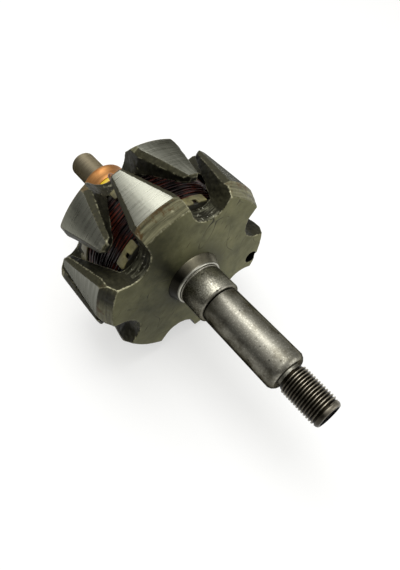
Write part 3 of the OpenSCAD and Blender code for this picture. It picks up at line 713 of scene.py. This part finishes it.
# The lip of one notch is knocked bright all along
from_lip = add(tree, "ShaderNodeMath", {0: around, 1: bright_lip}, operation="SUBTRACT")
off_lip = add(tree, "ShaderNodeMath", {0: from_lip}, operation="ABSOLUTE")
lip = add(tree, "ShaderNodeMapRange", {
    "Value": off_lip, "From Min": 0.14, "From Max": 0.24, "To Min": 1.0, "To Max": 0.0})
knocked = add(tree, "ShaderNodeMath", {0: patchy, 1: speckled}, operation="MAXIMUM")
worn = add(tree, "ShaderNodeMath", {0: knocked, 1: lip}, operation="MAXIMUM")
chip = add(tree, "ShaderNodeMath", {0: sharp, 1: worn}, operation="MULTIPLY")
chipped = add(tree, "ShaderNodeMix", {"Factor": chip, "A": dirt_and_shade, "B": "#b5b193"}, data_type="RGBA")
# Notch floors are worn to oily metal in streaks, 1.3 mm wide and 11 mm long
floor_low = add(tree, "ShaderNodeMapRange", {
    "Value": radius, "From Min": 44.0 * MM, "From Max": 46.0 * MM, "To Min": 1.0, "To Max": 0.0})
floor_look = add(tree, "ShaderNodeMapRange", {"Value": outwards, "From Min": 0.6, "From Max": 0.85})
floor_place = add(tree, "ShaderNodeMapping", {"Vector": place, "Scale": (1, 8, 8)}, vector_type="TEXTURE")
floor_streak = add(tree, "ShaderNodeTexNoise", {"Vector": floor_place, "Scale": 750.0, "Detail": 3.0})
floor_spot = add(tree, "ShaderNodeMapRange", {
    "Value": floor_streak, "From Min": 0.46, "From Max": 0.62, "To Max": 0.9})
notch_floor = add(tree, "ShaderNodeMath", {0: floor_low, 1: floor_look}, operation="MULTIPLY")
worn_floor = add(tree, "ShaderNodeMath", {0: notch_floor, 1: floor_spot}, operation="MULTIPLY")
glinting = add(tree, "ShaderNodeMix", {"Factor": worn_floor, "A": chipped, "B": "#6a6958"}, data_type="RGBA")
# Painted glints: a few bright spots on the notch floors
glint = add(tree, "ShaderNodeMapRange", {"Value": grit, "From Min": 0.62, "From Max": 0.7})
floor_glint = add(tree, "ShaderNodeMath", {0: notch_floor, 1: glint}, operation="MULTIPLY")
sparkling = add(tree, "ShaderNodeMix", {
    "Factor": floor_glint, "A": glinting, "B": "#c9c7b6"}, data_type="RGBA")
# Painted shade: the balance hole is black inside
hole_y, hole_z, hole_r, hole_edge_r = 43.21, -12.55, 4.0, 4.25
hole_mouth_x, hole_end_x = -5.9, -15.0
hole_middle = (0.0, hole_y * MM, hole_z * MM)
hole = add(tree, "ShaderNodeVectorMath", {0: flat, 1: hole_middle}, operation="DISTANCE")
in_hole = add(tree, "ShaderNodeMapRange", {
    "Value": hole, "From Min": hole_r * MM, "From Max": hole_edge_r * MM, "To Min": 1.0, "To Max": 0.0})
drilled = add(tree, "ShaderNodeMath", {0: split["X"], 1: hole_mouth_x * MM}, operation="LESS_THAN")
front_half = add(tree, "ShaderNodeMath", {0: split["X"], 1: hole_end_x * MM}, operation="GREATER_THAN")
drilled_front = add(tree, "ShaderNodeMath", {0: drilled, 1: front_half}, operation="MULTIPLY")
hole_mask = add(tree, "ShaderNodeMath", {0: in_hole, 1: drilled_front}, operation="MULTIPLY")
hole_shaded = add(tree, "ShaderNodeMix", {"Factor": hole_mask, "A": sparkling, "B": "#060605"}, data_type="RGBA")

mark_tone = add(tree, "ShaderNodeMapRange", {"Value": marks, "From Min": 0.05, "From Max": 0.95})
bright = add(tree, "ShaderNodeMix", {"Factor": mark_tone, "A": "#737368", "B": "#a3a397"}, data_type="RGBA")
# A film of old oil has dulled the claws that lie to the sides and below, away from the top claw
top_claw_way = (0.0, -0.342, 0.94)
upper = add(tree, "ShaderNodeVectorMath", {0: outward, 1: top_claw_way}, operation="DOT_PRODUCT")
film = add(tree, "ShaderNodeMapRange", {
    "Value": upper, "From Min": 0.6, "From Max": 0.8, "To Min": 0.85, "To Max": 0.0})
film_tone = add(tree, "ShaderNodeMix", {
    "Factor": streak_tone, "A": "#72726c", "B": "#a0a099"}, data_type="RGBA")
filmed = add(tree, "ShaderNodeMix", {"Factor": film, "A": bright, "B": film_tone}, data_type="RGBA")
final = add(tree, "ShaderNodeMix", {"Factor": turned_part, "A": hole_shaded, "B": filmed}, data_type="RGBA")
bare_skin = add(tree, "ShaderNodeMath", {0: worn_floor, 1: chip}, operation="MAXIMUM")
metal = add(tree, "ShaderNodeMath", {0: turned_part, 1: bare_skin}, operation="MAXIMUM")
skin_gloss = add(tree, "ShaderNodeMapRange", {
    "Value": grit, "From Min": 0.3, "From Max": 0.7, "To Min": 0.38, "To Max": 0.62})
face_gloss = add(tree, "ShaderNodeMix", {"Factor": face, "A": skin_gloss, "B": 0.52})
bare_gloss = add(tree, "ShaderNodeMapRange", {
    "Value": marks, "From Min": 0.3, "From Max": 0.7, "To Min": 0.24, "To Max": 0.36})
turned_gloss = add(tree, "ShaderNodeMix", {"Factor": film, "A": bare_gloss, "B": 0.52})
gloss = add(tree, "ShaderNodeMix", {"Factor": turned_part, "A": face_gloss, "B": turned_gloss})
face_flat = add(tree, "ShaderNodeMapRange", {"Value": face, "To Min": 1.0, "To Max": 0.25})
skin_grit = add(tree, "ShaderNodeMath", {0: grit, 1: face_flat}, operation="MULTIPLY")
skin_height = add(tree, "ShaderNodeMath", {0: skin_grit, 1: cut}, operation="SUBTRACT")
height = add(tree, "ShaderNodeMix", {"Factor": turned_part, "A": skin_height, "B": marks})
relief = add(tree, "ShaderNodeBump", {"Height": height, "Strength": 0.5, "Distance": 0.15 * MM})
# Sooty skin and turned steel are both dull at a grazing look
shader = add(tree, "ShaderNodeBsdfPrincipled", {
    "Specular Tint": "#3a3a39", "Base Color": final, "Metallic": metal, "Roughness": gloss, "Normal": relief})
add(tree, "ShaderNodeOutputMaterial", {"Surface": shader})

for node, name in (("front_pole_piece", "front_pole_forging"), ("rear_pole_piece", "rear_pole_forging")):
    pole = forged(node, name)
    pole.data.materials.append(claw_steel)
    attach(pole, "root")
    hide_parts(node)


# Front spacer
# A short collar turned from steel, with a flared foot.
# It is clamped between the front forging and the bearing.
spacer = turned("flared_spacer", [
    (-5.6, 12.5), (-5.6, 16.0), (-5.0, 15.6), (-1.6, 14.0), (-1.1, 13.6), (-0.5, 13.6), (0.0, 13.1),
    (0.0, 12.5), (-5.6, 12.5)])
round_edges(spacer, 0.15)

# Turned steel, darkened by handling in blots of 4 mm, with a bright lip where the bearing rubbed
dull, tree, place = new_material("darkened_turned_steel")
split = add(tree, "ShaderNodeSeparateXYZ", {"Vector": place}).outputs
film = add(tree, "ShaderNodeTexNoise", {"Vector": place, "Scale": 260.0, "Detail": 5.0, "Roughness": 0.65})
lip = add(tree, "ShaderNodeMapRange", {"Value": split["X"], "From Min": -1.3 * MM, "From Max": -0.7 * MM})
dark = add(tree, "ShaderNodeMix", {"Factor": film, "A": "#46433a", "B": "#85806c"}, data_type="RGBA")
facing = add(tree, "ShaderNodeTexCoord").outputs["Normal"]
facing_split = add(tree, "ShaderNodeSeparateXYZ", {"Vector": facing}).outputs
# Painted shade: the side away from the light goes nearly black
shade_side = add(tree, "ShaderNodeMapRange", {
    "Value": facing_split["Y"], "From Min": -0.62, "From Max": -0.12, "To Min": 0.95, "To Max": 0.0})
shaded_spacer_side = add(tree, "ShaderNodeMix", {"Factor": shade_side, "A": dark, "B": "#0e0d0a"}, data_type="RGBA")
tone = add(tree, "ShaderNodeMix", {"Factor": lip, "A": shaded_spacer_side, "B": "#a3a196"}, data_type="RGBA")
rough = add(tree, "ShaderNodeMapRange", {
    "Value": film, "From Min": 0.3, "From Max": 0.7, "To Min": 0.24, "To Max": 0.36})
shader = add(tree, "ShaderNodeBsdfPrincipled", {"Base Color": tone, "Roughness": rough, "Metallic": 1.0})
add(tree, "ShaderNodeOutputMaterial", {"Surface": shader})
spacer.data.materials.append(dull)
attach(spacer, "root")
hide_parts("bearing_spacer")


# Slip ring hub
# A yellow moulding of phenolic resin, pressed on the shaft.
# It keeps both copper rings apart and insulated.
hub = copy_of_solid("slip_ring_hub", "yellow_hub")
round_edges(hub, 0.25)

# Phenolic moulding: deep yellow, slightly glossy, dusted in blots of 6 mm with carbon from the brushes
phenolic, tree, place = new_material("yellow_phenolic")
dust = add(tree, "ShaderNodeTexNoise", {"Vector": place, "Scale": 180.0, "Detail": 5.0, "Roughness": 0.6})
darkening = add(tree, "ShaderNodeMapRange", {"Value": dust, "From Min": 0.5, "From Max": 0.75, "To Max": 0.5})
tone = add(tree, "ShaderNodeMix", {"Factor": darkening, "A": "#e0c022", "B": "#6b5a1a"}, data_type="RGBA")
grain = add(tree, "ShaderNodeBump", {"Height": dust, "Strength": 0.2, "Distance": 0.1 * MM})
shader = add(tree, "ShaderNodeBsdfPrincipled", {"Base Color": tone, "Normal": grain, "Roughness": 0.4})
add(tree, "ShaderNodeOutputMaterial", {"Surface": shader})
hub.data.materials.append(phenolic)
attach(hub, "root")
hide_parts("slip_ring_hub")


# Slip rings
# Two copper rings shrunk on the hub.
# The carbon brushes have polished fine grooves into them.

# Brushed copper: bright in fine grooves, browner where it has tarnished
copper, tree, place = new_material("brushed_ring_copper")
ring_place = round_the_shaft(tree, place, 0.8)
# Grooves 0.6 mm apart, coarser than real so that they show; tarnish in blots of 7 mm
grooves = add(tree, "ShaderNodeTexNoise", {"Vector": ring_place, "Scale": 1700.0, "Detail": 3.0})
tarnish = add(tree, "ShaderNodeTexNoise", {"Vector": place, "Scale": 150.0, "Detail": 4.0})
clean = add(tree, "ShaderNodeMix", {"Factor": grooves, "A": "#9c6a3a", "B": "#cb955e"}, data_type="RGBA")
dim = add(tree, "ShaderNodeMapRange", {"Value": tarnish, "From Min": 0.5, "From Max": 0.75, "To Max": 0.6})
tone = add(tree, "ShaderNodeMix", {"Factor": dim, "A": clean, "B": "#7a4420"}, data_type="RGBA")
relief = add(tree, "ShaderNodeBump", {"Height": grooves, "Strength": 0.3, "Distance": 0.06 * MM})
shader = add(tree, "ShaderNodeBsdfPrincipled", {
    "Base Color": tone, "Normal": relief, "Metallic": 1.0, "Roughness": 0.48})
add(tree, "ShaderNodeOutputMaterial", {"Surface": shader})
ring_bore_r, ring_r, worn_r, ring_w = 11.75, 14.75, 14.6, 10.2
# Beside the track that the brushes have worn, a land is left at each edge
land, slope_end = 2.4, 3.0
for node, name, front in (("front_slip_ring", "inner_copper_ring", -70.8),
                          ("rear_slip_ring", "outer_copper_ring", -84.0)):
    rear = front - ring_w
    ring = turned(name, [
        (front, ring_bore_r), (front, ring_r), (front - land, ring_r), (front - slope_end, worn_r),
        (rear + slope_end, worn_r), (rear + land, ring_r), (rear, ring_r), (rear, ring_bore_r),
        (front, ring_bore_r)])
    round_edges(ring, 0.25)
    ring.data.materials.append(copper)
    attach(ring, "root")
    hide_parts(node)


# Winding leads
# The two copper ends of the winding, each in a varnished woven sleeve.
# They are glued down along the rear forging and run to the hub.

# Varnished sleeve: amber brown in blots of 5 mm, with a weave about 0.5 mm wide drawn as slanting bands
sleeve, tree, place = new_material("varnished_woven_sleeve")
bands = add(tree, "ShaderNodeTexWave", {
    "Vector": place, "Scale": 320.0, "Distortion": 1.5, "Detail": 1.0},
    bands_direction="DIAGONAL").outputs["Fac"]
amber = add(tree, "ShaderNodeTexNoise", {"Vector": place, "Scale": 200.0, "Detail": 3.0})
weave = add(tree, "ShaderNodeMix", {"Factor": bands, "A": "#6a3a18", "B": "#a8703a"}, data_type="RGBA")
tone = add(tree, "ShaderNodeMix", {"Factor": amber, "A": weave, "B": "#4a2810"}, data_type="RGBA")
relief = add(tree, "ShaderNodeBump", {"Height": bands, "Strength": 0.5, "Distance": 0.12 * MM})
shader = add(tree, "ShaderNodeBsdfPrincipled", {"Base Color": tone, "Normal": relief, "Roughness": 0.38})
add(tree, "ShaderNodeOutputMaterial", {"Surface": shader})
for node in ("start_lead", "end_lead"):
    lead = nodes[node]
    lead.data.materials.clear()
    lead.data.materials.append(sleeve)
